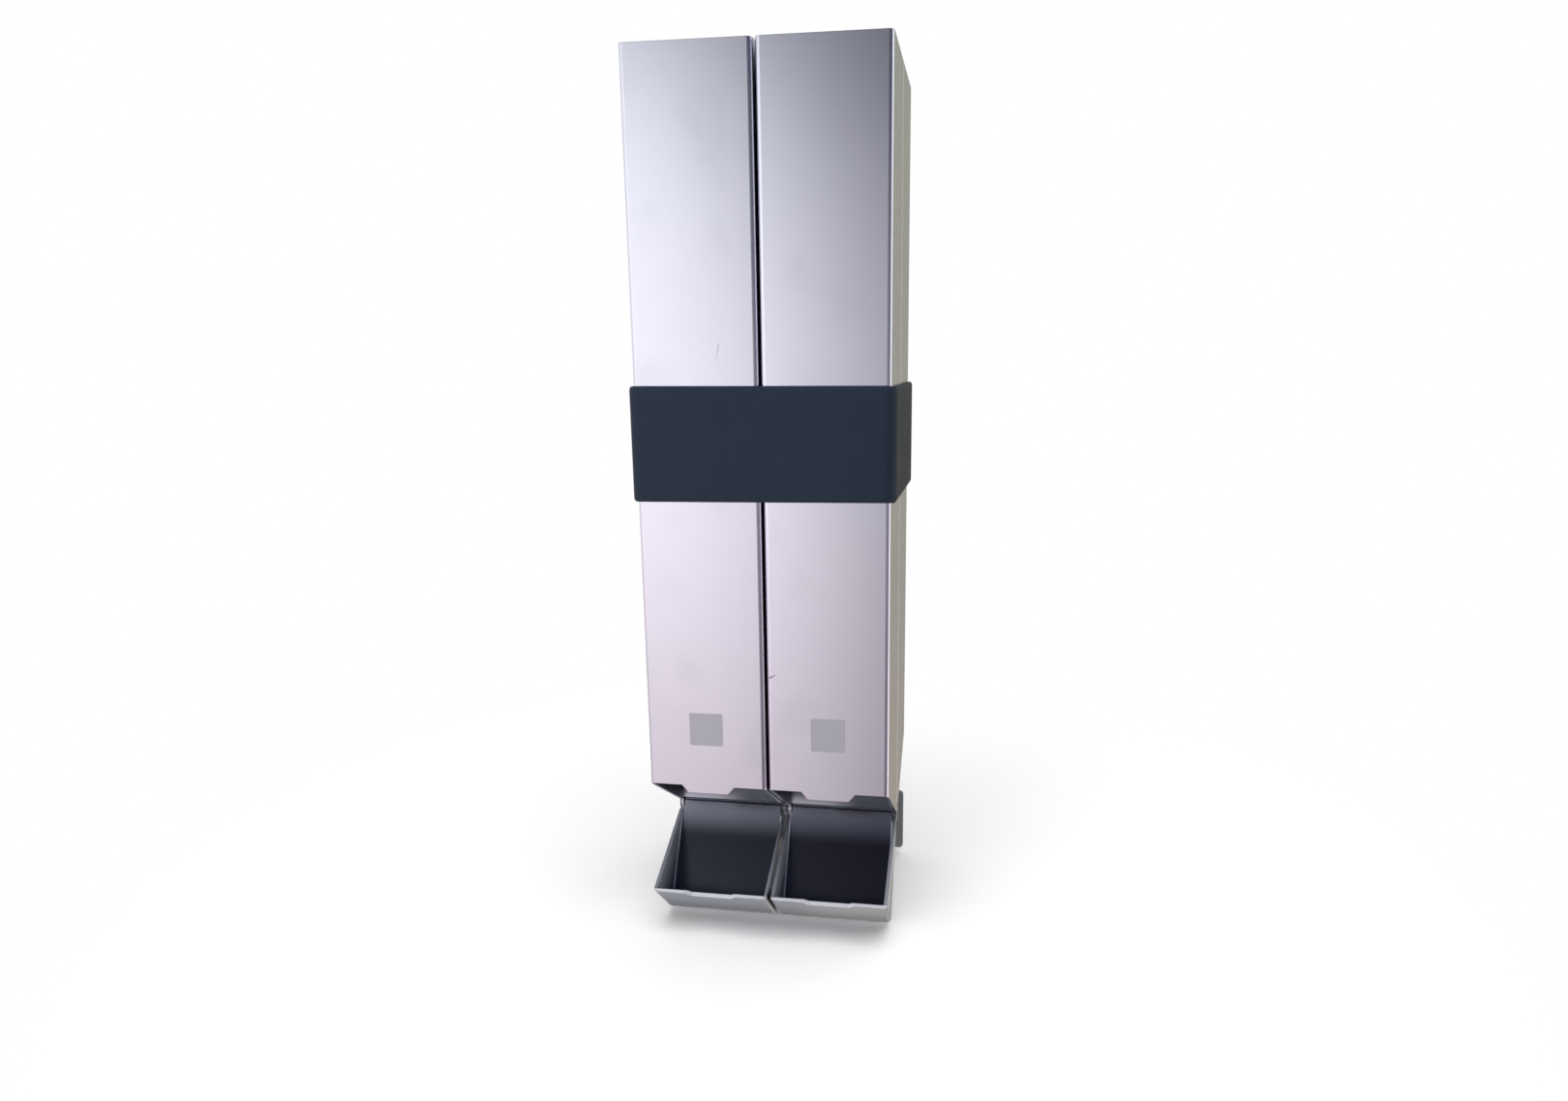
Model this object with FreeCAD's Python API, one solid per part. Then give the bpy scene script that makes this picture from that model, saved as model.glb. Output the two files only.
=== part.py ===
import FreeCAD, Part
import math
import os

# Wall-mounted capsule dispenser: two folded aluminium columns side by side, each with a chute in front
# and a mounting channel behind, a tip-out scoop below, and a silicone band round both.
# Millimetres. +X to the right seen from the front, +Y into the wall, +Z up.
# The origin is the centre of the wall bracket's four screw holes, on the wall's face.

# Columns
column_width = 43.0
column_gap = 0.8            # between the two columns
front_height = 247.0        # from the front wall's lower edge to the top
chute_depth = 34.8          # front half, up to the seam in the side
channel_depth = 33.6        # rear half, behind the seam
sheet = 1.4                 # aluminium sheet
front_corner_r = 1.6
seam_corner_r = 1.2         # the two rounded edges that make the groove in the side
inner_corner_r = 0.6
flange_width = 8.0          # the channel's front edges, turned inwards

# Hinge: ears at the foot of the chute's side walls hold a pin, on which the scoop's knuckle turns
hinge_drop = 23.2           # below the front wall's lower edge
pin_r = 1.25
knuckle_r = 2.4
ear_r = 2.8
ear_height = 4.0            # its straight part, above the hinge axis
washer = 0.5                # thickness of the nylon washers
washer_r = 2.2

# Scoop, described as it stands when shut
scoop_opening = 58.2        # degrees that it is tipped out in the photo, where it rests
toe_out = 4.9               # how far its lower front edge stands out when shut
toe_drop = 23.6             # that edge below the chute's front edge
toe_r = 2.0
fold_r = 1.6
fold_inner_r = 0.5
floor_lift = 1.0            # the floor's underside above the hinge axis
heel_width = 18.0
heel_height = 9.0
heel_corner_r = 2.0

# Tab on the chute's front wall and the recess in the scoop's lip that takes it
tab_height = 2.6
tab_root = 19.1
tab_tip = 14.6

# Stop pads
pad_width = 12.0
pad_height = 3.5
pad_thick = 1.0
pad_above_hinge = 5.0
pad_corner_r = 0.8

# Rivets through chute and channel flange
rivet_r = 1.55
rivet_head_r = 2.8
rivet_tail_r = 2.6
rivet_tail = 1.0
rivet_sink = 1.2            # depth of the sunk head
rivet_count = 4             # in each of the two rows
rivet_first = 20.0          # lowest one above the front wall's lower edge
rivet_last = 15.0           # highest one below the top

# Channel caps
cap_thick = 5.0

# Wall bracket
bracket_thick = 2.0
hole_r = 2.5
hole_across = 60.0
hole_below_top = 48.75      # upper holes below the columns' top: the rows are then 240 mm apart
hole_rise = 13.75           # lower holes above the foot's lower edge
foot_height = 25.5
foot_drop = 30.0            # its upper edge below the front wall's lower edge
foot_width = 86.0
foot_corner_r = 1.6
bar_width = 72.0
spine_width = 32.0
bar_corner_r = 6.0
top_bar_below_top = 11.0
top_bar_height = 50.0
low_bar_rise = 20.0         # above the front wall's lower edge
low_bar_height = 38.0

# Hanger studs and the keyholes that drop over them
stud_below_top = 25.0       # upper studs
stud_rise = 40.0            # lower studs above the front wall's lower edge
stud_shank_r = 2.0
stud_neck_r = 2.1
stud_head_r = 4.5
stud_head = 1.5
stud_shoulder_r = 6.0
keyhole_slot_r = 2.4
keyhole_entry_r = 5.2
keyhole_drop = 12.0
spacer_r = 5.0
spacer_across = 62.0
spacer_below_top = 39.0
spacer_rise = 30.0

# Retaining band
band_low = 102.9
band_high = 141.9
band_thick = 1.7
band_edge_r = 0.7
band_corner_r = 3.8

# Labels
label_side = 12.0
label_thick = 0.12
label_height = 21.7         # its centre above the front wall's lower edge
label_corner_r = 0.6

# Fits and clearances
stand_off = 2.0             # between bracket and channels: the band passes here
edge_gap = 0.4              # between scoop and chute when shut
running = 0.05              # hinge pin in the scoop's knuckle, on the radius
seated = 0.03               # pins and rivets that are fixed in their holes, on the radius
side_play = 0.15            # scoop's knuckle between its washers
rest_gap = 0.3              # heel before its stop pad
swing_gap = 0.35            # round moving knuckles, the ears and the washers
ear_gap = 0.3               # between an ear and the channel
pin_sink = 0.1              # the pin's ends below the side walls' faces
cap_gap = 0.15              # caps in their channels
stud_play = 0.3             # behind the stud's head
band_corner_gap = 0.2       # the band's inner corners are this much tighter

# Worked out from the sizes above
half = column_width / 2
inside = half - sheet
depth = chute_depth + channel_depth
column_x = (column_gap + column_width) / 2
front_y = -(bracket_thick + stand_off + depth)
back_wall = chute_depth - sheet
hinge_back = back_wall + knuckle_r
lower_holes = -foot_drop - foot_height + hole_rise
upper_holes = front_height - hole_below_top
edge_z = -(lower_holes + upper_holes) / 2
stud_heights = (front_height - stud_below_top, stud_rise)
spacer_heights = (front_height - spacer_below_top, spacer_rise)
far = 100.0                 # reach of the cutting shapes, past all that they cut
cut_angle = math.atan2(hinge_drop, hinge_back)
knuckle_half = inside - washer - side_play

X = FreeCAD.Vector(1, 0, 0)
Y = FreeCAD.Vector(0, 1, 0)
Z = FreeCAD.Vector(0, 0, 1)
hinge = FreeCAD.Vector(0, hinge_back, -hinge_drop)


def plan(a, b):
    return FreeCAD.Vector(a, b, 0)


def side(a, b):
    return FreeCAD.Vector(0, a, b)


def front(a, b):
    return FreeCAD.Vector(a, 0, b)


def prism(corners, lay, along, low, high):
    """A straight prism on an outline of (a, b, radius) corners, from low to high along an axis."""
    points = [lay(a, b) for a, b, r in corners]
    arcs = []
    for i, (a, b, r) in enumerate(corners):
        here = points[i]
        back = (points[i - 1] - here).normalize()
        on = (points[(i + 1) % len(points)] - here).normalize()
        if r == 0:
            arcs.append((here, here, here))
            continue
        turn = back.getAngle(on) / 2
        middle = (back + on).normalize()
        run = r / math.tan(turn)
        arcs.append((here + back * run, here + middle * (r / math.sin(turn) - r), here + on * run))
    edges = []
    for i, (start, middle, end) in enumerate(arcs):
        if corners[i][2]:
            edges.append(Part.Arc(start, middle, end).toShape())
        after = arcs[(i + 1) % len(arcs)][0]
        if (after - end).Length > 1e-6:
            edges.append(Part.LineSegment(end, after).toShape())
    face = Part.Face(Part.Wire(edges))
    face.translate(along * low)
    return face.extrude(along * (high - low))


def rectangle(a0, a1, b0, b1, r=0):
    return [(a0, b0, r), (a1, b0, r), (a1, b1, r), (a0, b1, r)]


def block(x0, x1, y0, y1, z0, z1):
    return prism(rectangle(x0, x1, y0, y1), plan, Z, z0, z1)


def rod(centre, along, r, low, high):
    """A round bar on an axis through centre."""
    return Part.makeCylinder(r, high - low, centre + along * low, along)


def both_ends(low, high, make):
    """The same piece at the left and the right end of something centred on x = 0."""
    return make(low, high).fuse(make(-high, -low))


def joined(shapes):
    whole = shapes[0]
    for other in shapes[1:]:
        whole = whole.fuse(other)
    return whole.removeSplitter()


def cut_line(y, lift):
    """Height of the slanted cut that parts chute and scoop, moved square to itself by lift."""
    return -y * math.tan(cut_angle) + lift / math.cos(cut_angle)


def trapezoid(spread, low, high):
    """Outline of the tab, wider by spread on each side, drawn from low to high."""
    slope = (tab_root - tab_tip) / 2 / tab_height
    tip = tab_tip / 2 + spread + (low + tab_height) * slope
    root = tab_tip / 2 + spread + (high + tab_height) * slope
    return [(-tip, low, 0), (tip, low, 0), (root, high, 0), (-root, high, 0)]


def tube(y0, y1, front_r, back_r, low):
    """A column tube of sheet, open at both ends."""
    outer = [(-half, y0, front_r), (half, y0, front_r), (half, y1, back_r), (-half, y1, back_r)]
    inner = rectangle(-inside, inside, y0 + sheet, y1 - sheet, inner_corner_r)
    outside = prism(outer, plan, Z, low, front_height)
    return outside.cut(prism(inner, plan, Z, low, front_height))


def ears(gap):
    """The ears in the plane of the side walls, grown by gap: round below and square behind."""
    r = ear_r + gap
    top = -hinge_drop + ear_height + gap
    return both_ends(inside, half, lambda a, b: rod(hinge, X, r, a, b).fuse(
        block(a, b, chute_depth - seam_corner_r, hinge_back + r, -hinge_drop, top)))


def rivet_places():
    """Middles of the channel's flanges, evenly spaced from the first to the last height."""
    step = (front_height - rivet_last - rivet_first) / (rivet_count - 1)
    for x in (flange_width / 2 - inside, inside - flange_width / 2):
        for i in range(rivet_count):
            yield FreeCAD.Vector(x, 0, rivet_first + i * step)


def rivet_hole(place, gap):
    """Space of a rivet: the sunk head in the chute's back wall and its shank."""
    head = Part.makeCone(rivet_head_r + gap, rivet_r + gap, rivet_sink, place + Y * back_wall, Y)
    shank = rod(place, Y, rivet_r + gap, back_wall, chute_depth + sheet)
    return head.fuse(shank)


def make_chute():
    shape = tube(0, chute_depth, front_corner_r, seam_corner_r, -2 * hinge_drop)
    lift = edge_gap / 2
    below = [(-far, cut_line(-far, lift), 0), (far, cut_line(far, lift), 0), (-far, -far, 0)]
    shape = shape.cut(prism(below, side, X, -half, half))
    shape = shape.cut(block(-inside, inside, 0, sheet + inner_corner_r, -2 * sheet, 0))
    shape = shape.fuse(prism(trapezoid(0, -tab_height, sheet), front, Y, 0, sheet))
    over_knuckle = -hinge_drop + knuckle_r + edge_gap
    past_fold = back_wall - inner_corner_r
    shape = shape.cut(block(-inside, inside, past_fold, chute_depth, -far, over_knuckle))
    shape = joined([shape, ears(0)])
    shape = shape.cut(rod(hinge, X, pin_r + seated, -half, half))
    for place in rivet_places():
        shape = shape.cut(rivet_hole(place, seated))
    return shape


def make_scoop():
    """The scoop in its rest place, tipped out."""
    rise = 3.0                  # how far above the lip the folded tray is drawn before it is cut
    lean = math.atan(toe_out / toe_drop)
    floor_z = -hinge_drop + floor_lift
    tilt = math.atan((toe_drop + floor_z) / (hinge_back + toe_out))
    floor_top = floor_z + sheet / math.cos(tilt)

    toe = FreeCAD.Vector(0, -toe_out, -toe_drop)
    up_wall = FreeCAD.Vector(0, math.sin(lean), math.cos(lean))
    along_floor = FreeCAD.Vector(0, math.cos(tilt), math.sin(tilt))
    inner_toe = toe + (up_wall + along_floor) * (sheet / math.cos(lean + tilt))
    outer_top = rise * math.tan(lean)
    inner_top = outer_top + sheet / math.cos(lean)

    def tray(wall_top, toe_at, r, floor_at, reach, edge_r):
        """A solid of the tray's side outline, rounded along its front and its underside."""
        corners = [(wall_top, rise, 0), (toe_at.y, toe_at.z, r), (hinge_back, floor_at, 0),
                   (hinge_back, rise, 0)]
        body = prism(corners, side, X, -reach, reach)
        folds = []
        for edge in body.Edges:
            box = edge.BoundBox
            on_side = box.XLength < 1e-6
            if on_side and box.Center.z < rise - 1e-6 and box.Center.y < hinge_back - 1e-6:
                folds.append(edge)
        return body.makeFillet(edge_r, folds)

    folded = tray(outer_top, toe, toe_r, floor_z, half, fold_r)
    folded = folded.cut(tray(inner_top, inner_toe, toe_r - sheet, floor_top, inside, fold_inner_r))

    lift = -edge_gap / 2
    over = [(-far, cut_line(-far, lift), 0), (far, cut_line(far, lift), 0), (far, far, 0)]
    shape = folded.cut(prism(over, side, X, -half, half))
    wall = [(-far, -toe_drop / 2, 0), (inner_top, -toe_drop / 2, 0), (inner_top, -edge_gap, 0),
            (-far, -edge_gap, 0)]
    shape = shape.fuse(folded.common(prism(wall, side, X, -inside, inside)))
    shape = shape.cut(prism(trapezoid(edge_gap, -tab_height - edge_gap, 0), front, Y, -toe_out, toe_out))

    for r, low, high in ((washer_r, knuckle_half, inside), (ear_r, inside, half)):
        shape = shape.cut(both_ends(low, high, lambda a, b: rod(hinge, X, r + swing_gap, a, b)))
    drop = (hinge_back - back_wall + toe_out) * math.tan(tilt)
    bridge_y = back_wall - toe_out
    bridge = [(bridge_y, floor_z - drop, 0), (hinge_back, floor_z, 0), (hinge_back, floor_top, 0),
              (bridge_y, floor_top - drop, 0)]
    shape = shape.fuse(prism(bridge, side, X, -knuckle_half, knuckle_half))
    shape = joined([shape, rod(hinge, X, knuckle_r, -knuckle_half, knuckle_half)])
    shape.rotate(hinge, X, scoop_opening)

    heel_y = chute_depth + pad_thick + rest_gap
    heel = rectangle(-heel_width / 2, heel_width / 2, -hinge_drop, -hinge_drop + heel_height)
    heel = [(a, b, heel_corner_r if b > -hinge_drop else 0) for a, b, r in heel]
    shape = joined([shape, prism(heel, front, Y, heel_y, heel_y + sheet)])
    return shape.cut(rod(hinge, X, pin_r + running, -half, half))


def make_pin():
    return rod(hinge, X, pin_r, pin_sink - half, half - pin_sink)


def make_washers():
    rings = both_ends(inside - washer, inside, lambda a, b: rod(hinge, X, washer_r, a, b))
    return rings.cut(rod(hinge, X, pin_r + seated, -half, half))


def make_stop_pad():
    low = -hinge_drop + pad_above_hinge
    outline = rectangle(-pad_width / 2, pad_width / 2, low, low + pad_height, pad_corner_r)
    return prism(outline, front, Y, chute_depth, chute_depth + pad_thick)


def make_channel():
    shape = tube(chute_depth, depth, seam_corner_r, front_corner_r, -2 * hinge_drop)
    slot = inside - flange_width
    flange_back = chute_depth + sheet
    shape = shape.cut(block(-slot, slot, chute_depth, flange_back, -far, front_height))
    slope = hinge_drop / (depth - hinge_back)
    below = [(-far, (-far - depth) * slope, 0), (far, (far - depth) * slope, 0), (far, -3 * far, 0)]
    shape = shape.cut(prism(below, side, X, -half, half))
    over_knuckle = -hinge_drop + knuckle_r + 2 * swing_gap
    past_flange = flange_back + inner_corner_r
    shape = shape.cut(block(-inside, inside, chute_depth, past_flange, -far, over_knuckle))
    shape = shape.cut(ears(ear_gap))
    for z in stud_heights:
        low = z - keyhole_drop
        slot = block(-keyhole_slot_r, keyhole_slot_r, depth - sheet, depth, low, z)
        for r, height in ((keyhole_entry_r, low), (keyhole_slot_r, z)):
            slot = slot.fuse(rod(FreeCAD.Vector(0, 0, height), Y, r, depth - sheet, depth))
        shape = shape.cut(slot)
    for place in rivet_places():
        shape = shape.cut(rivet_hole(place, seated))
    return shape


def make_cap():
    """Plug in the channel's top, with a tongue between the flanges."""
    x = inside - cap_gap
    y0 = chute_depth + sheet + cap_gap
    y1 = depth - sheet - cap_gap
    low = front_height - cap_thick
    shape = prism(rectangle(-x, x, y0, y1, inner_corner_r), plan, Z, low, front_height)
    tongue = inside - flange_width - cap_gap
    tongue = block(-tongue, tongue, chute_depth + cap_gap, y0, low, front_height)
    return joined([shape, tongue])


def make_label():
    low = label_height - label_side / 2
    outline = rectangle(-label_side / 2, label_side / 2, low, low + label_side, label_corner_r)
    return prism(outline, front, Y, -label_thick, 0)


def make_rivets():
    """The rivets of one column."""
    shapes = []
    for place in rivet_places():
        tail = rod(place, Y, rivet_tail_r, chute_depth + sheet, chute_depth + sheet + rivet_tail)
        shapes.append(rivet_hole(place, 0).fuse(tail).removeSplitter())
    return Part.makeCompound(shapes)


def make_bracket():
    """Plate against the wall, from y = -thickness to 0, heights from the front wall's lower edge."""
    bar, spine, foot = bar_width / 2, spine_width / 2, foot_width / 2
    top = front_height - top_bar_below_top
    under_top = top - top_bar_height
    over_low = low_bar_rise + low_bar_height
    right = [(bar, top), (bar, under_top), (spine, under_top), (spine, over_low),
             (bar, over_low), (bar, low_bar_rise), (spine, low_bar_rise), (spine, -foot_drop)]
    right = [(a, b, bar_corner_r) for a, b in right]
    right += [(foot, -foot_drop, foot_corner_r), (foot, -foot_drop - foot_height, foot_corner_r)]
    left = [(-a, b, r) for a, b, r in reversed(right)]
    shape = prism(right + left, front, Y, -bracket_thick, 0)
    for x in (-hole_across / 2, hole_across / 2):
        for z in (lower_holes, upper_holes):
            shape = shape.cut(rod(FreeCAD.Vector(x, 0, z), Y, hole_r, -bracket_thick, 0))
    for x in (-column_x, column_x):
        for z in stud_heights:
            place = FreeCAD.Vector(x, 0, z)
            shape = shape.cut(rod(place, Y, stud_shank_r + seated, -bracket_thick, 0))
    return shape


def make_studs():
    shoulder = -bracket_thick - stand_off
    neck = shoulder - sheet - stud_play
    shapes = []
    for x in (-column_x, column_x):
        for z in stud_heights:
            place = FreeCAD.Vector(x, 0, z)
            shapes.append(joined([
                rod(place, Y, stud_shank_r, -bracket_thick, 0),
                rod(place, Y, stud_shoulder_r, shoulder, -bracket_thick),
                rod(place, Y, stud_neck_r, neck, shoulder),
                rod(place, Y, stud_head_r, neck - stud_head, neck)]))
    return Part.makeCompound(shapes)


def make_spacers():
    shapes = []
    for x in (-spacer_across / 2, spacer_across / 2):
        for z in spacer_heights:
            place = FreeCAD.Vector(x, 0, z)
            shapes.append(rod(place, Y, spacer_r, -bracket_thick - stand_off, -bracket_thick))
    return Part.makeCompound(shapes)


def make_band():
    wide = column_x + half
    back = -bracket_thick - stand_off
    outer = rectangle(-wide - band_thick, wide + band_thick, front_y - band_thick, back + band_thick,
                      band_corner_r)
    inner = rectangle(-wide, wide, front_y, back, front_corner_r - band_corner_gap)
    body = prism(outer, plan, Z, band_low, band_high)
    rims = [edge for edge in body.Edges if edge.BoundBox.ZLength < 1e-6]
    body = body.makeFillet(band_edge_r, rims)
    return body.cut(prism(inner, plan, Z, band_low, band_high))


def save(node, shape, move):
    shape = shape.copy()
    shape.translate(move)
    shape.exportStep("parts/" + node + ".step")
    box = shape.BoundBox
    print(f"{node:20s} solids {len(shape.Solids)} valid {shape.isValid()} volume {shape.Volume:9.1f}"
          f"  x {box.XMin:7.2f} {box.XMax:7.2f}  y {box.YMin:7.2f} {box.YMax:7.2f}"
          f"  z {box.ZMin:7.2f} {box.ZMax:7.2f}")


os.makedirs("parts", exist_ok=True)

column_pieces = {
    "chute": make_chute(),
    "scoop": make_scoop(),
    "hinge_pin": make_pin(),
    "hinge_washers": make_washers(),
    "stop_pad": make_stop_pad(),
    "channel": make_channel(),
    "channel_cap": make_cap(),
    "label": make_label(),
}
for hand, x in (("left", -column_x), ("right", column_x)):
    for name, shape in column_pieces.items():
        save(name + "_" + hand, shape, FreeCAD.Vector(x, front_y, edge_z))

one = make_rivets()
other = one.copy()
one.translate(X * -column_x)
other.translate(X * column_x)
save("rivets", Part.makeCompound(one.Solids + other.Solids), FreeCAD.Vector(0, front_y, edge_z))

save("wall_bracket", make_bracket(), Z * edge_z)
save("hanger_studs", make_studs(), Z * edge_z)
save("spacer_pads", make_spacers(), Z * edge_z)
save("retaining_band", make_band(), Z * edge_z)

print("edge_z", edge_z, "front_y", front_y, "hinge y z", front_y + hinge_back, edge_z - hinge_drop)
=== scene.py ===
import math

import bpy
import numpy as np
from bpy.props import FloatProperty, FloatVectorProperty, IntProperty, PointerProperty
from mathutils import Euler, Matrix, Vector


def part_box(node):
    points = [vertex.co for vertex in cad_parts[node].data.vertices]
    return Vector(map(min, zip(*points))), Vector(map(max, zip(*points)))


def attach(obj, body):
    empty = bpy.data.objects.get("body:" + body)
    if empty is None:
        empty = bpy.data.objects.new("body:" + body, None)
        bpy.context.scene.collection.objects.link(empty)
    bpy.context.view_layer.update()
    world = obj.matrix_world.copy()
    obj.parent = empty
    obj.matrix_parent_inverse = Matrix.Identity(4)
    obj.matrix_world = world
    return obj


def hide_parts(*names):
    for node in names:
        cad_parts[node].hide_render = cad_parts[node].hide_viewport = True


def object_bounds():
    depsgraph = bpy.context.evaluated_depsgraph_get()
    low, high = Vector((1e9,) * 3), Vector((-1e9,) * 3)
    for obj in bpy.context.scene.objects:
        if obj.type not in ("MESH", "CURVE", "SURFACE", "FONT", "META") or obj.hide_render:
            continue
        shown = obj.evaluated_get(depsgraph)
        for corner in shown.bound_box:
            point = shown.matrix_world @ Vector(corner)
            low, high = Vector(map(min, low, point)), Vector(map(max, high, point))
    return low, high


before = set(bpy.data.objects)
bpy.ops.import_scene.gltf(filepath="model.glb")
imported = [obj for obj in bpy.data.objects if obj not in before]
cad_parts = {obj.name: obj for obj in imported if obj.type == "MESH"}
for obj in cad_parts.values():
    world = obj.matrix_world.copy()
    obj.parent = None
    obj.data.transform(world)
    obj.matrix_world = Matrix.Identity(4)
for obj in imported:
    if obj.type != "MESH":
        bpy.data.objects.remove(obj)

bl_info = {
    "name": "Capsule Dispenser Dressing",
    "version": (1, 0, 0),
    "blender": (4, 5, 0),
    "location": "View3D > Sidebar > Dispenser",
    "description": "Finishes, band, studio and camera for a wall-mounted capsule dispenser",
    "category": "Object",
}

MM = 0.001
CAD_BOX = [[float(v) for v in corner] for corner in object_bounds()]


def box_mm(node):
    """Lowest and highest corners of a CAD node at rest, in millimetres."""
    return [Vector(corner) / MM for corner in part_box(node)]


CHUTE = box_mm("chute_right")
BAND = box_mm("retaining_band")
HINGE = sum(box_mm("hinge_pin_right"), Vector()) / 2
SEAM_Y = box_mm("channel_right")[0].y
COLUMN_X = (CHUTE[0].x + CHUTE[1].x) / 2
COLUMN_HALF = (CHUTE[1].x - CHUTE[0].x) / 2
FRONT_Y = CHUTE[0].y
HALF_GAP = COLUMN_X - COLUMN_HALF
HALF_SHEET = 0.7                # half the thickness of the metal
FRONT_EDGE_Z = -78.25           # lower edge of the chutes' front walls
OPENING = math.radians(58.2)    # how far the scoops are tipped out at rest


# Shader maths


class Value:
    """A socket's value. Python's operators on it add Math nodes to the tree it belongs to."""

    def __init__(self, tree, socket):
        self.tree = tree
        self.socket = socket

    def math(self, operation, *values):
        return self.tree.add("ShaderNodeMath", {"operation": operation}, dict(enumerate(values)))

    def __add__(self, other):
        return self.math("ADD", self, other)

    def __sub__(self, other):
        return self.math("SUBTRACT", self, other)

    def __rsub__(self, other):
        return self.math("SUBTRACT", other, self)

    def __mul__(self, other):
        return self.math("MULTIPLY", self, other)

    def __pow__(self, other):
        return self.math("POWER", self, other)

    def __abs__(self):
        return self.math("ABSOLUTE", self)

    __radd__ = __add__
    __rmul__ = __mul__

    def least(self, other):
        return self.math("MINIMUM", self, other)

    def most(self, other):
        return self.math("MAXIMUM", self, other)

    def step(self, low, high):
        """0 below low, 1 above high and smooth between them."""
        settings = {"interpolation_type": "SMOOTHSTEP"}
        return self.tree.add("ShaderNodeMapRange", settings, {0: self, 1: low, 2: high})


class Tree:
    """A node tree that is filled from expressions."""

    def __init__(self, owner):
        owner.use_nodes = True
        self.nodes = owner.node_tree.nodes
        self.links = owner.node_tree.links
        self.nodes.clear()

    def put(self, socket, value):
        if isinstance(value, Value):
            self.links.new(value.socket, socket)
        else:
            socket.default_value = value

    def add(self, kind, settings=None, sockets=None, out=0):
        """One node: its settings first, then the values or links of its sockets."""
        node = self.nodes.new(kind)
        for name, value in (settings or {}).items():
            setattr(node, name, value)
        for name, value in (sockets or {}).items():
            self.put(node.inputs[name], value)
        if out is not None:
            return Value(self, node.outputs[out])

    def seen_directly(self):
        """1 where the camera, a mirror or a glass looks at this, 0 for the light it gives."""
        path = self.nodes.new("ShaderNodeLightPath")
        rays = [Value(self, path.outputs[name])
                for name in ("Is Camera Ray", "Is Glossy Ray", "Is Transmission Ray")]
        return (rays[0] + rays[1] + rays[2]).least(1.0)


class Finish(Tree):
    """A material of one Principled shader, whose constants are set on its own sockets."""

    def __init__(self, name, **constants):
        self.material = bpy.data.materials.new(name)
        super().__init__(self.material)
        self.shader = self.nodes.new("ShaderNodeBsdfPrincipled")
        self.output = self.nodes.new("ShaderNodeOutputMaterial")
        self.links.new(self.shader.outputs[0], self.output.inputs[0])
        self.feed(**constants)

    def feed(self, **values):
        for name, value in values.items():
            label = name.replace("_", " ").title().replace("Ior", "IOR")
            self.put(self.shader.inputs[label], value)

    def place(self, stretch=(1, 1, 1)):
        """Object coordinates in millimetres, each axis multiplied by its stretch."""
        place = self.add("ShaderNodeTexCoord", out="Object")
        scale = tuple(s / MM for s in stretch)
        return self.add("ShaderNodeMapping", None, {"Vector": place, "Scale": scale})

    def axes(self):
        """X, Y and Z in millimetres."""
        split = self.add("ShaderNodeSeparateXYZ", None, {0: self.place()})
        return [Value(self, out) for out in split.socket.node.outputs]

    def facing(self, direction):
        """How squarely a face looks along a direction: 1 for squarely, 0 for edge-on."""
        normal = self.add("ShaderNodeTexCoord", out="Normal")
        settings = {"operation": "DOT_PRODUCT"}
        return self.add("ShaderNodeVectorMath", settings, {0: normal, 1: direction}, out="Value")

    def noise(self, size, detail=3.0, rough=0.5, stretch=(1, 1, 1), warp=0.0):
        """Noise whose features are about size millimetres across."""
        sockets = {"Vector": self.place(stretch), "Scale": 1 / size, "Detail": detail,
                   "Roughness": rough, "Distortion": warp}
        return self.add("ShaderNodeTexNoise", {"noise_dimensions": "3D"}, sockets)

    def cells(self, size, stretch=(1, 1, 1)):
        """Distance to the nearest of a cloud of points, in the points' mean spacing of size millimetres."""
        sockets = {"Vector": self.place(stretch), "Scale": 1 / size}
        return self.add("ShaderNodeTexVoronoi", None, sockets, out="Distance")

    def blend(self, mask, first, second):
        """Colour that goes from first to second with the mask."""
        settings = {"data_type": "RGBA", "blend_type": "MIX"}
        sockets = {0: mask, 6: opaque(first), 7: opaque(second)}
        return self.add("ShaderNodeMix", settings, sockets, out=2)

    def edges(self, width):
        """1 on edges sharper than width millimetres, 0 on flat faces: how far a rounded normal turns."""
        rounded = self.add("ShaderNodeBevel", {"samples": 6}, {"Radius": width * MM})
        flat = self.add("ShaderNodeNewGeometry", out="Normal")
        settings = {"operation": "DOT_PRODUCT"}
        turned = self.add("ShaderNodeVectorMath", settings, {0: rounded, 1: flat}, out="Value")
        return (1.0 - turned).step(0.01, 0.12)

    def relief(self, height, rounding=0.0):
        """Height in millimetres as a bump, over edges rounded by rounding millimetres."""
        sockets = {"Height": height, "Distance": MM}
        if rounding:
            sockets["Normal"] = self.add("ShaderNodeBevel", {"samples": 6}, {"Radius": rounding * MM})
        self.feed(normal=self.add("ShaderNodeBump", None, sockets))

    def stroke(self, across, up, start, end, width):
        """1 along a short straight mark between two points, which wavers and thins towards its end."""
        run, rise = end[0] - start[0], end[1] - start[1]
        span = math.hypot(run, rise)
        along = ((across - start[0]) * (run / span) + (up - start[1]) * (rise / span)) * (1 / span)
        aside = (up - start[1]) * (run / span) - (across - start[0]) * (rise / span)
        waver = (self.noise(1.6, 2.0) - 0.5) * width
        slim = (1.0 - 0.7 * along) * width - abs(aside + waver)
        ends = along.least(1.0 - along)
        return slim.step(0.0, width * 0.5) * ends.step(0.0, 0.1)


def opaque(value):
    return (*value, 1.0) if not isinstance(value, Value) and len(value) == 3 else value


def tinted(base, factor):
    return tuple(min(1.0, channel * factor) for channel in base[:3])


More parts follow.
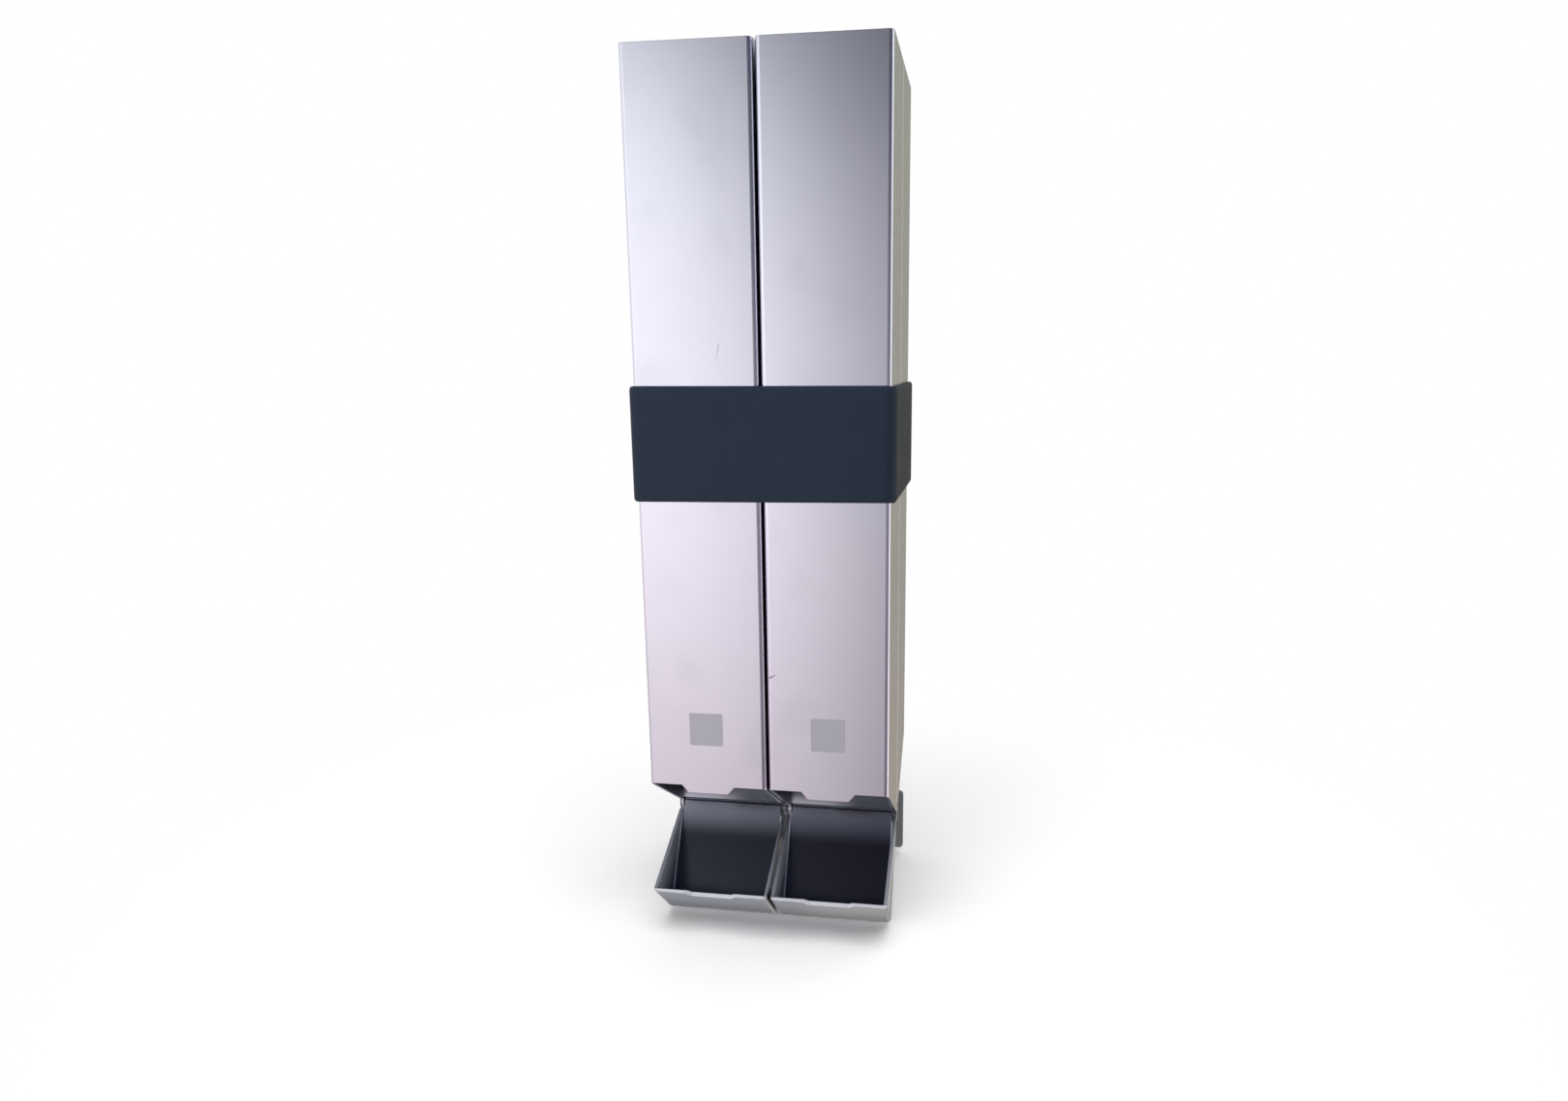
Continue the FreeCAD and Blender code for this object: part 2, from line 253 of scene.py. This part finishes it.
def glow(name, dark, shine):
    """A material that only shines: from the dark tone up to white, as the mesh's attribute says."""
    material = bpy.data.materials.new(name)
    tree = Tree(material)
    shade = tree.add("ShaderNodeAttribute", {"attribute_name": "shade"}, out="Fac")
    settings = {"data_type": "RGBA", "blend_type": "MIX"}
    tone = tree.add("ShaderNodeMix", settings, {0: shade, 6: opaque(dark), 7: (1, 1, 1, 1)}, out=2)
    light = tree.add("ShaderNodeEmission", None, {"Color": tone, "Strength": shine})
    tree.add("ShaderNodeOutputMaterial", None, {0: light}, out=None)
    return material


def dress(finish, *nodes):
    """Gives a finish to CAD nodes, which stay as they are."""
    for name in nodes:
        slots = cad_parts[name].data.materials
        slots.clear()
        slots.append(finish.material)


# Surfaces


def smooth(values, low, high):
    """0 below low, 1 above high, and 3t squared less 2t cubed between them."""
    t = np.clip((values - low) / (high - low), 0, 1)
    return t * t * (3 - 2 * t)


def surface(name, grid, material, closed=(False, False)):
    """An object made of a (rows, columns, 3) grid of points in metres, closed along either parameter.

    Faces look where the cross product of the rows' and the columns' direction points."""
    rows, columns = grid.shape[:2]
    row = np.arange(rows if closed[0] else rows - 1)[:, None]
    column = np.arange(columns if closed[1] else columns - 1)[None, :]
    next_row, next_column = (row + 1) % rows, (column + 1) % columns
    corners = [row * columns + column, next_row * columns + column,
               next_row * columns + next_column, row * columns + next_column]
    faces = np.stack(np.broadcast_arrays(*corners), axis=-1).reshape(-1, 4)
    mesh = bpy.data.meshes.new(name)
    mesh.from_pydata(grid.reshape(-1, 3).tolist(), [], faces.tolist())
    mesh.shade_smooth()
    mesh.materials.append(material)
    made = bpy.data.objects.new(name, mesh)
    bpy.context.scene.collection.objects.link(made)
    return made


def rounded_rectangle(steps, across, deep, r):
    """Points round a rectangle with elliptical corners, centred on the origin, and their directions.

    In even eighths of the way the direction swings by a quarter turn while the corner's centre rests. In
    odd eighths the centre moves on to the next corner. A point is its centre plus its direction times r,
    the corner's two radii."""
    s = np.arange(8 * steps) / steps
    knots = np.arange(9)
    angle = np.interp(s, knots, np.pi / 2 * np.array([0, 1, 1, 2, 2, 3, 3, 4, 4]))
    x = np.interp(s, knots, (across / 2 - r[0]) * np.array([1, 1, -1, -1, -1, -1, 1, 1, 1]))
    y = np.interp(s, knots, (deep / 2 - r[1]) * np.array([1, 1, 1, 1, -1, -1, -1, -1, 1]))
    way = np.stack([np.cos(angle), np.sin(angle)], axis=-1)
    return np.stack([x, y], axis=-1) + np.array(r) * way, way


# Settings


def tint(name, description, default):
    return FloatVectorProperty(name=name, description=description, subtype="COLOR", size=3,
                               min=0.0, max=1.0, default=default)


def share(name, description, default):
    return FloatProperty(name=name, description=description, default=default, min=0.0, max=1.0)


def length(name, description, millimetres):
    return FloatProperty(name=name, description=description, default=millimetres * MM,
                         unit="LENGTH", subtype="DISTANCE", precision=5)


class DispenserSheet(bpy.types.PropertyGroup):
    """The anodised sheet of the columns and the scoops."""
    # The upper and lower colours differ by a painted reflection: bluer at the top, pinker at the foot.
    upper: tint("Upper colour", "Anodised colour at the top of the columns", (0.87, 0.88, 1.0))
    lower: tint("Lower colour", "Anodised colour at the foot of the columns", (0.98, 0.875, 1.0))
    # The scoops' colour is darker than the columns' as painted shade.
    scoop: tint("Scoop colour", "Anodised colour of the scoops", (0.50, 0.52, 0.60))
    # The cheeks' paler colour is painted light.
    cheek: tint("Cheeks", "Anodised colour of the scoops' sides", (0.70, 0.73, 0.83))
    # The floors' dark colour is painted shade.
    floor: tint("Floors", "Dimmed colour of the scoops' floors", (0.095, 0.10, 0.135))
    sawn: tint("Sawn edges", "Bare metal of the scoops' sawn edges", (0.66, 0.67, 0.70))
    # The inside's and the foot's darker colours are painted shade, and the mouth's paler streak is a
    # painted reflection.
    inside: tint("Inside", "Metal inside the chutes", (0.70, 0.69, 0.76))
    foot: tint("Foot", "Dimmed metal at the foot of the chutes' insides", (0.15, 0.155, 0.185))
    mouth: tint("Mouth", "Metal at the left inside the chutes' mouths", (0.78, 0.74, 0.86))
    # The cut edges' dark colour is painted shade.
    cut: tint("Cut edges", "Dimmed cut edges of the chutes' side walls", (0.24, 0.24, 0.28))
    roughness: share("Roughness", "Roughness of the columns' finish", 0.22)
    scoop_roughness: share("Scoop roughness", "Roughness of the scoops' finish", 0.18)
    bow: length("Bow", "How far the middle of a front face stands out", 0.14)
    rounding: length("Edge rounding", "Rounding of the sheet's cut edges", 0.22)


class DispenserBand(bpy.types.PropertyGroup):
    """The silicone band."""
    silicone: tint("Silicone", "Colour of the band", (0.0105, 0.0163, 0.0300))
    dust: tint("Dust", "Colour of the dust on the band", (0.13, 0.14, 0.16))
    thickness: length("Thickness", "Thickness of the band", 1.7)
    corner: length("Corner", "Outer radius where it turns round the columns", 3.8)
    rim: length("Rim", "Height of the rounding along its upper and lower rims", 1.5)
    steps: IntProperty(name="Steps", description="Steps in each corner and each side", default=20, min=4)


class DispenserFittings(bpy.types.PropertyGroup):
    """Bracket, pins, rivets, pads, caps and labels."""
    bracket: tint("Bracket", "Powder coat of the wall bracket", (0.17, 0.17, 0.18))
    steel: tint("Steel", "Pins, rivets and studs", (0.62, 0.62, 0.64))
    nylon: tint("Nylon", "Washers and caps", (0.055, 0.056, 0.060))
    pad: tint("Pads", "Rubber pads", (0.030, 0.030, 0.032))
    label: tint("Labels", "Printed squares", (0.465, 0.446, 0.506))


class DispenserStudio(bpy.types.PropertyGroup):
    """Floor, lamps, cards and camera."""
    floor: tint("Floor", "Colour of the floor", (0.98, 0.98, 0.985))
    floor_gap: length("Floor gap", "Height of the object above the floor", 2.0)
    fade_start: length("Fade start", "Distance at which the floor starts to turn white", 100.0)
    fade_end: length("Fade end", "Distance from which the floor is white", 280.0)
    key: FloatProperty(name="Key lamp", description="Power of the lamp at the camera's left",
                       default=9.0, unit="POWER")
    top: FloatProperty(name="Top lamp", description="Power of the lamp overhead", default=20.5,
                       unit="POWER")
    ambient: share("Ambient", "Strength of the room's light", 0.50)
    dark: tint("Dark", "Darkest tone of the card in front of the object", (0.012, 0.012, 0.035))
    wall: tint("Wall card", "Colour of the card behind the object", (0.30, 0.295, 0.24))
    shine: FloatProperty(name="Shine", description="Strength of the cards in reflections", default=1.13)


# Finishes


def sheet_finish(name, low, high, rough, bow, rounding, worn=1.0):
    """Satin anodised sheet: fine lengthwise grain, clouding, smudges and small scratches.

    Each front face is bowed: its height falls with the square of the distance from its middle."""
    finish = Finish(name, metallic=1.0)
    x, y, z = finish.axes()
    grain = finish.noise(0.18, 2.0, 0.6, stretch=(1, 1, 0.04))
    cloud = finish.noise(30.0, 3.0, 0.55)
    smudge = finish.noise(16.0, 1.5, 0.4).step(0.50, 0.80)
    hairline = finish.cells(6.0, stretch=(1, 1, 0.12)).step(0.0, 0.035)
    scratch = (1.0 - hairline) * finish.noise(21.0, 1.0).step(0.58, 0.64)
    wear = finish.edges(0.4) * finish.noise(2.6, 3.0, 0.7).step(0.40, 0.62)

    # The colour drifts from low to high up the columns: a painted reflection.
    colour = finish.blend(z.step(CHUTE[0].z, CHUTE[1].z), low, high)
    shade = 0.965 + 0.05 * cloud + 0.010 * grain - 0.03 * worn * smudge - 0.05 * worn * scratch
    scale = {"operation": "SCALE"}
    colour = finish.add("ShaderNodeVectorMath", scale, {0: colour, "Scale": shade})
    colour = finish.blend(wear * 0.45, colour, (0.90, 0.90, 0.92))
    roughness = rough - 0.03 + 0.05 * grain + 0.03 * cloud + 0.03 * worn * smudge - 0.04 * wear

    aside = (abs(x) - COLUMN_X) * (1 / COLUMN_HALF)
    crown = aside * aside * (-bow / MM)
    height = crown + finish.noise(55.0, 1.0) * 0.08 + grain * 0.0008 - scratch * 0.003 * worn
    return finish, colour, roughness, height


class DISPENSER_OT_columns(bpy.types.Operator):
    """Finish the chutes and the channels behind them"""
    bl_idname = "dispenser.columns"
    bl_label = "Columns"

    def execute(self, context):
        sheet = context.scene.dispenser_sheet
        finish, colour, roughness, height = sheet_finish(
            "chute_sheet", sheet.lower, sheet.upper, sheet.roughness, sheet.bow, sheet.rounding)
        x, y, z = finish.axes()
        # Inside, the metal is painted darker as shade, darkest at the foot, apart from a pale streak at the
        # left, which is a painted reflection.
        in_x = COLUMN_HALF - HALF_SHEET - abs(abs(x) - COLUMN_X)
        in_y = (y - (FRONT_Y + HALF_SHEET)).least(SEAM_Y - HALF_SHEET - y)
        inside = in_x.least(in_y).step(-0.2, 0.2)
        leftward = COLUMN_X * 2 * x.step(-0.1, 0.1) - x - COLUMN_X
        streak = leftward.step(-8.0, 8.0) * (1.0 - z.step(-99.5, -93.5))
        foot = finish.blend(streak, sheet.foot, sheet.mouth)
        within = finish.blend(z.step(-88.0, -40.0), foot, sheet.inside)
        # Cut edges of the side walls, which slant back from the front wall's lower edge, are painted dark
        # as shade.
        cut = (1.0 - z.step(FRONT_EDGE_Z - 1.0, FRONT_EDGE_Z - 0.3)) * (y - FRONT_Y).step(0.9, 1.3)
        cut = cut * (1.0 - abs(finish.facing((1.0, 0.0, 0.0))).step(0.85, 0.95))
        # Two marks that the real one has picked up.
        scuff = finish.stroke(x, z, (-13.2, 77.5), (-14.6, 71.0), 0.22)
        nick = finish.stroke(x, z, (1.2, -36.6), (4.0, -35.0), 0.55)
        marks = (scuff * 0.45 + nick).least(1.0) * (1.0 - (y - FRONT_Y).step(0.4, 0.8))
        colour = finish.blend(inside, finish.blend(cut, colour, sheet.cut), within)
        finish.feed(base_color=finish.blend(marks * 0.75, colour, (0.22, 0.17, 0.24)))
        finish.feed(roughness=roughness + 0.08 * inside + 0.1 * marks)
        finish.relief(height - marks * 0.03, sheet.rounding / MM)
        dress(finish, "chute_left", "chute_right")

        finish, colour, roughness, height = sheet_finish(
            "channel_sheet", sheet.lower, sheet.upper, sheet.roughness, sheet.bow, sheet.rounding)
        # The edges next to the seam are painted bright: a painted highlight.
        brightened = 1.0 - (finish.axes()[1] - SEAM_Y).step(0.5, 2.2)
        finish.feed(base_color=finish.blend(brightened * 0.6, colour, (1.0, 1.0, 1.0)))
        finish.feed(roughness=roughness + 0.1 * brightened)
        finish.relief(height, sheet.rounding / MM)
        dress(finish, "channel_left", "channel_right")
        return {"FINISHED"}


class DISPENSER_OT_scoops(bpy.types.Operator):
    """Finish the scoops"""
    bl_idname = "dispenser.scoops"
    bl_label = "Scoops"

    def execute(self, context):
        sheet = context.scene.dispenser_sheet
        finish, colour, roughness, height = sheet_finish(
            "scoop_sheet", sheet.scoop, sheet.scoop, sheet.scoop_roughness, 0.0, sheet.rounding, 0.25)
        x, y, z = finish.axes()
        from_hinge = ((y - HINGE.y) * (y - HINGE.y) + (z - HINGE.z) * (z - HINGE.z)) ** 0.5
        behind_front, up = self.shut(finish)
        under_cheek = self.under_cheek(behind_front, up)
        sawn = self.sawn(finish, behind_front, up, under_cheek)
        saw_lines = finish.noise(0.14, 2.0, 0.7, stretch=(1, 0.2, 0.2))

        # Painted shade and light: floors painted dark as shade and paler near the hinge as a painted
        # reflection, cheeks painted paler as light, and lips painted darker downwards as shade.
        floor = finish.facing((0.0, -math.sin(OPENING), math.cos(OPENING))).step(0.92, 0.98)
        cheek = abs(finish.facing((1.0, 0.0, 0.0))).step(0.90, 0.97)
        lip = finish.facing((0.0, -math.cos(OPENING), -math.sin(OPENING))).step(0.90, 0.97)
        dimmed = finish.blend(from_hinge.step(2.0, 14.0), sheet.cheek, sheet.floor)
        colour = finish.blend(floor, finish.blend(cheek, colour, sheet.cheek), dimmed)
        # The lips are painted darker downwards: painted shade.
        colour = finish.blend(lip * (1.0 - up.step(-3.0, 22.0)), colour, tinted(sheet.scoop, 0.15))
        colour = finish.blend(sawn, colour, sheet.sawn)
        # Little light comes into the gap between the two scoops.
        deep = 1.0 - abs(x).step(HALF_GAP + 0.2, HALF_GAP + 0.7)
        deep = deep * (1.0 - 0.6 * behind_front.step(1.5, 5.0))
        lit = cheek * (1.0 - under_cheek.step(1.0, 17.0)) * (1.0 - deep)
        finish.feed(base_color=finish.blend(deep, colour, tinted(sheet.floor, 0.5)))
        finish.feed(roughness=roughness + sawn * (0.18 + 0.1 * saw_lines))
        finish.feed(metallic=1.0 - 0.5 * sawn - 0.6 * lit)
        finish.relief(height + sawn * saw_lines * 0.01, sheet.rounding / MM)
        dress(finish, "scoop_left", "scoop_right")
        return {"FINISHED"}

    def slant(self):
        """The angle at which the cheeks' tops slant from the lip down to the hinge, in the shut scoop."""
        return math.atan2(FRONT_EDGE_Z - HINGE.z, HINGE.y - FRONT_Y)

    def shut(self, finish):
        """A point's place in the shut scoop: back from the front wall's face and up from the hinge's axis.

        It is found by turning the point round the hinge's axis, back by the opening."""
        x, y, z = finish.axes()
        out, up = y - HINGE.y, z - HINGE.z
        back = up * math.sin(OPENING) + out * math.cos(OPENING)
        return back - (FRONT_Y - HINGE.y), up * math.cos(OPENING) - out * math.sin(OPENING)

    def under_cheek(self, behind_front, up):
        """How far a point of the shut scoop is below the line of the cheeks' tops."""
        back = behind_front + (FRONT_Y - HINGE.y)
        return 0.0 - up * math.cos(self.slant()) - back * math.sin(self.slant())

    def sawn(self, finish, behind_front, up, under_cheek):
        """1 on the sawn top and recess of the lip, and a little on the slanted tops of the cheeks."""
        level = (0.0, -math.sin(OPENING), math.cos(OPENING))
        sloped = (0.0, -math.sin(OPENING - self.slant()), math.cos(OPENING - self.slant()))
        front = 1.0 - behind_front.step(0.9, 1.3)
        lip = up.step(18.8, 19.2) * finish.facing(level).step(0.45, 0.60) * front
        cheek = (1.0 - under_cheek.step(0.5, 0.8)) * finish.facing(sloped).step(0.94, 0.98)
        return lip.most(cheek * 0.3)


def moulded_finish(name, base, rough, texture, rounding=0.2):
    """Moulded rubber or plastic with a fine matt texture, slightly paler where it rubs."""
    finish = Finish(name, specular_ior_level=0.4)
    fine = finish.noise(texture, 3.0, 0.6)
    patch = finish.noise(14.0, 3.0)
    rub = finish.edges(0.5) * 0.6
    finish.feed(base_color=finish.blend((rub + 0.25 * patch).least(1.0), base, tinted(base, 1.8)))
    finish.feed(roughness=rough + 0.12 * (patch - 0.5) - 0.05 * rub)
    finish.relief(fine * 0.02, rounding)
    return finish


def turned_finish(name, base):
    """Bright turned steel with fine rings and a few dull spots."""
    finish = Finish(name, metallic=1.0)
    fine = finish.noise(0.12, 2.0, 0.6, stretch=(0.1, 1, 1))
    spots = finish.noise(1.6, 3.0, 0.6).step(0.5, 0.75)
    finish.feed(base_color=finish.blend(spots * 0.5, base, tinted(base, 0.72)))
    finish.feed(roughness=0.24 + 0.10 * fine + 0.14 * spots)
    finish.relief(fine * 0.003, 0.15)
    return finish


def powder_finish(name, base):
    """Powder coat: orange-peel bumps, and chips of bare metal along the edges."""
    finish = Finish(name)
    peel = finish.noise(0.9, 2.0, 0.5)
    patch = finish.noise(18.0, 3.0)
    chips = finish.edges(0.45) * finish.noise(2.2, 4.0, 0.7).step(0.58, 0.64)
    coat = finish.blend(patch, base, tinted(base, 1.15))
    finish.feed(base_color=finish.blend(chips, coat, (0.5, 0.5, 0.52)))
    finish.feed(roughness=0.46 + 0.10 * (patch - 0.5) - 0.12 * chips, metallic=chips)
    finish.relief(peel * 0.03 - chips * 0.05, 0.25)
    return finish


def label_finish(name, base):
    """Printed film: even grey with a faint dot grain and rubbed spots."""
    finish = Finish(name, metallic=0.6)
    grain = finish.noise(0.22, 2.0, 0.6)
    brightened = finish.noise(3.5, 4.0, 0.65).step(0.60, 0.70)
    shade = finish.blend(grain, tinted(base, 0.96), tinted(base, 1.04))
    finish.feed(base_color=finish.blend(brightened * 0.3, shade, tinted(base, 1.15)))
    finish.feed(roughness=0.42 + 0.08 * grain)
    finish.relief(grain * 0.004)
    return finish


def band_finish(name, silicone, dust):
    """Matt silicone: bloomed surface, specks of dust, and paler upper and lower rims, which are a painted
    highlight.
    """
    finish = Finish(name, specular_ior_level=0.16)
    middle = (BAND[0].z + BAND[1].z) / 2
    top = BAND[1].z - middle
    # The rims are painted paler: a painted highlight.
    rim = abs(finish.axes()[2] - middle).step(top - 1.6, top)
    bloom = finish.noise(26.0, 4.0, 0.55)
    fine = finish.noise(0.35, 2.0, 0.6)
    specks = (1.0 - finish.cells(1.9).step(0.03, 0.07)) * finish.noise(9.0, 2.0).step(0.48, 0.62)
    bloom_and_sheen = finish.blend((0.4 * bloom + 0.5 * rim).least(1.0), silicone, tinted(silicone, 1.7))
    finish.feed(base_color=finish.blend(specks * 0.45, bloom_and_sheen, dust))
    finish.feed(roughness=0.46 + 0.12 * (bloom - 0.5) + 0.10 * specks)
    finish.relief(fine * 0.010 + specks * 0.01)
    return finish


class DISPENSER_OT_fittings(bpy.types.Operator):
    """Finish the pins, washers, rivets, pads, caps, studs and the wall bracket"""
    bl_idname = "dispenser.fittings"
    bl_label = "Fittings"

    def execute(self, context):
        made = context.scene.dispenser_fittings
        dress(turned_finish("turned_steel", made.steel),
              "hinge_pin_left", "hinge_pin_right", "rivets", "hanger_studs")
        dress(moulded_finish("nylon", made.nylon, 0.48, 0.5),
              "hinge_washers_left", "hinge_washers_right", "channel_cap_left", "channel_cap_right")
        dress(moulded_finish("pad_rubber", made.pad, 0.74, 0.3),
              "stop_pad_left", "stop_pad_right", "spacer_pads")
        dress(powder_finish("bracket_coat", made.bracket), "wall_bracket")
        return {"FINISHED"}


class DISPENSER_OT_labels(bpy.types.Operator):
    """Finish the printed squares"""
    bl_idname = "dispenser.labels"
    bl_label = "Labels"

    def execute(self, context):
        dress(label_finish("label_print", context.scene.dispenser_fittings.label),
              "label_left", "label_right")
        return {"FINISHED"}


class DISPENSER_OT_band(bpy.types.Operator):
    """Model the silicone band that holds the columns together"""
    bl_idname = "dispenser.band"
    bl_label = "Band"

    def execute(self, context):
        band = context.scene.dispenser_band
        finish = band_finish("silicone", band.silicone, band.dust)
        piece = surface("silicone_band", self.shape(band), finish.material, closed=(True, True))
        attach(piece, "frame")
        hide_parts("retaining_band")
        return {"FINISHED"}

    def shape(self, band):
        """A rounded upright strip, carried round a rounded rectangle.

        A point is the path's point plus the section's offset times the path's outward direction, at the
        section's height. The path is the strip's middle line. The rims waver a little, and the lower one
        rises towards the right end of the front, where the band has crept up."""
        size = (BAND[1] - BAND[0]) * MM
        centre = (BAND[1] + BAND[0]) / 2 * MM
        middle = band.thickness / 2
        strip, _ = rounded_rectangle(8, band.thickness, size.z, (middle, band.rim))
        path, way = rounded_rectangle(band.steps, size.x - 2 * middle, size.y - 2 * middle,
                                      (band.corner - middle, band.corner - middle))
        offset, height = strip[None, :, 0], strip[None, :, 1]
        turn = np.linspace(0, 2 * np.pi, len(path), endpoint=False)[:, None]
        waver = 0.08 * MM * (np.sin(3 * turn + 0.7) + 0.6 * np.sin(5 * turn + 2.1))
        low = 0.5 - height / size.z
        front = np.clip(-path[:, 1:] / size.y + 0.5, 0, 1)
        pulled = 0.9 * MM * (0.1 + np.clip(path[:, :1] / size.x + 0.5, 0, 1)) * front
        return np.stack([centre.x + path[:, :1] + offset * way[:, :1],
                         centre.y + path[:, 1:] + offset * way[:, 1:],
                         centre.z + height * 0.996 + waver + low * pulled], axis=-1)


class DISPENSER_OT_studio(bpy.types.Operator):
    """Set up the floor, the cards, the lamps, the room's light and the camera"""
    bl_idname = "dispenser.studio"
    bl_label = "Studio"

    def execute(self, context):
        studio = context.scene.dispenser_studio
        self.floor(studio)
        self.card("front_card", studio.dark, studio.shine, (-164, 75), (-80, 85), self.front_shade)
        self.card("wall_card", studio.wall, studio.shine, (120, 196), (-80, 60), self.wall_shade)
        self.lamp("key_lamp", studio.key, (-0.75, -1.1, 0.25), 1.0)
        self.lamp("top_lamp", studio.top, (0.2, -0.35, 1.5), 1.6)
        self.room(context.scene, studio.ambient)
        self.camera(context.scene)
        return {"FINISHED"}

    def camera(self, scene):
        camera = bpy.data.objects.new("camera", bpy.data.cameras.new("camera"))
        scene.collection.objects.link(camera)
        camera.location = (0.073138, -0.393266, 0.071116)
        camera.rotation_euler = Euler([math.radians(a) for a in (78.0360, 0.2265, 8.4713)])
        camera.data.sensor_width = 36.0
        camera.data.lens = 22.6346
        camera.data.shift_x = -0.033221
        camera.data.shift_y = 0.013191
        camera.data.clip_start = 0.01
        scene.camera = camera
        scene.view_settings.view_transform = "Standard"

    def lamp(self, name, power, place, size):
        """A square soft lamp aimed at the object. Metal mirrors the cards and the room instead."""
        light = bpy.data.lights.new(name, "AREA")
        light.size = size
        light.energy = power
        lamp = bpy.data.objects.new(name, light)
        bpy.context.scene.collection.objects.link(lamp)
        lamp.location = place
        lamp.rotation_euler = (-Vector(place)).to_track_quat("-Z", "Y").to_euler()
        lamp.visible_glossy = False

    def floor(self, studio):
        """A sheet that takes the shadow, and turns into the white background further out."""
        side = np.linspace(-3.0, 3.0, 13)
        across, deep = np.meshgrid(side, side, indexing="ij")
        level = np.full_like(deep, CAD_BOX[0][2] - studio.floor_gap)
        grid = np.stack([across, deep, level], axis=-1)
        finish = Finish("floor", roughness=0.9, specular_ior_level=0.1)
        patch = finish.noise(300.0, 2.0)
        finish.feed(base_color=finish.blend(patch * 0.3, studio.floor, tinted(studio.floor, 0.98)))
        x, y, z = finish.axes()
        distance = (x * x + y * y) ** 0.5
        far = distance.step(studio.fade_start / MM, studio.fade_end / MM) * finish.seen_directly()
        white = finish.add("ShaderNodeEmission", None, {"Color": (1, 1, 1, 1), "Strength": 1.0})
        near = Value(finish, finish.shader.outputs[0])
        both = finish.add("ShaderNodeMixShader", None, {0: far, 1: near, 2: white})
        finish.put(finish.output.inputs[0], both)
        floor = surface("floor", grid, finish.material)
        floor.visible_glossy = False

    def front_shade(self, turn, up):
        """White at the left, dimmer to the right of a slanting line, overhead and towards the floor."""
        right = smooth(turn + 0.185 * up, -21.6, 4.2)
        overhead = smooth(up, np.minimum(10.5 - 0.45 * (turn + 12), 20.0), 28.2)
        below = smooth(-up, -1.5, 38.0) * (1 - 0.15 * smooth(-up, 42.0, 58.0))
        left = smooth(-turn, 35.0, 85.0)
        return (1 - 0.79 * right) * (1 - 0.82 * overhead) * (1 - 0.56 * below) * (1 - 0.3 * left)

    def wall_shade(self, turn, up):
        """Paler towards the floor."""
        return 0.24 * smooth(-up, 30.0, 55.0)

    def card(self, name, dark, shine, azimuths, heights, shade):
        """A card that only reflections show: part of a sphere round the object.

        Azimuths in degrees run from the front to the right, heights in degrees up from the horizon. A
        point is the reach times the direction that both give, and shade says how white it is there."""
        turn, up = np.meshgrid(np.linspace(*azimuths, 120), np.linspace(*heights, 80), indexing="ij")
        white = shade(turn, up)
        turn, up = np.radians(turn), np.radians(up)
        reach = 2.4
        way = [np.sin(turn) * np.cos(up), -np.cos(turn) * np.cos(up), np.sin(up)]
        grid = reach * np.stack(way, axis=-1)
        card = surface(name, grid, glow(name, tuple(dark), shine))
        card.data.attributes.new("shade", "FLOAT", "POINT").data.foreach_set("value", white.ravel())
        card.visible_camera = False
        card.visible_diffuse = False
        card.visible_shadow = False

    def room(self, scene, ambient):
        """White to the eye and in reflections, and a soft even light on the object."""
        scene.world = bpy.data.worlds.new("room")
        tree = Tree(scene.world)
        seen = tree.seen_directly()
        strength = seen + (1.0 - seen) * ambient
        back = tree.add("ShaderNodeBackground", None, {"Color": (1, 1, 1, 1), "Strength": strength})
        tree.add("ShaderNodeOutputWorld", None, {0: back}, out=None)


class DISPENSER_PT_panel(bpy.types.Panel):
    """Lists the pieces in the 3D view's sidebar"""
    bl_idname = "DISPENSER_PT_panel"
    bl_label = "Capsule Dispenser"
    bl_space_type = "VIEW_3D"
    bl_region_type = "UI"
    bl_category = "Dispenser"

    def draw(self, context):
        for operator in OPERATORS:
            self.layout.operator(operator.bl_idname)
        for name in SETTINGS:
            group = getattr(context.scene, name)
            box = self.layout.box()
            for setting in group.bl_rna.properties.keys():
                if setting not in ("rna_type", "name"):
                    box.prop(group, setting)


SETTINGS = {
    "dispenser_sheet": DispenserSheet,
    "dispenser_band": DispenserBand,
    "dispenser_fittings": DispenserFittings,
    "dispenser_studio": DispenserStudio,
}
OPERATORS = (DISPENSER_OT_columns, DISPENSER_OT_scoops, DISPENSER_OT_fittings, DISPENSER_OT_labels,
             DISPENSER_OT_band, DISPENSER_OT_studio)


def register():
    for cls in (*SETTINGS.values(), *OPERATORS, DISPENSER_PT_panel):
        bpy.utils.register_class(cls)
    for name, group in SETTINGS.items():
        setattr(bpy.types.Scene, name, PointerProperty(type=group))


def unregister():
    for name in SETTINGS:
        delattr(bpy.types.Scene, name)
    for cls in (DISPENSER_PT_panel, *reversed(OPERATORS), *reversed(list(SETTINGS.values()))):
        bpy.utils.unregister_class(cls)


def main():
    register()
    bpy.ops.dispenser.columns()
    bpy.ops.dispenser.scoops()
    bpy.ops.dispenser.fittings()
    bpy.ops.dispenser.labels()
    bpy.ops.dispenser.band()
    bpy.ops.dispenser.studio()


if __name__ == "__main__":
    main()
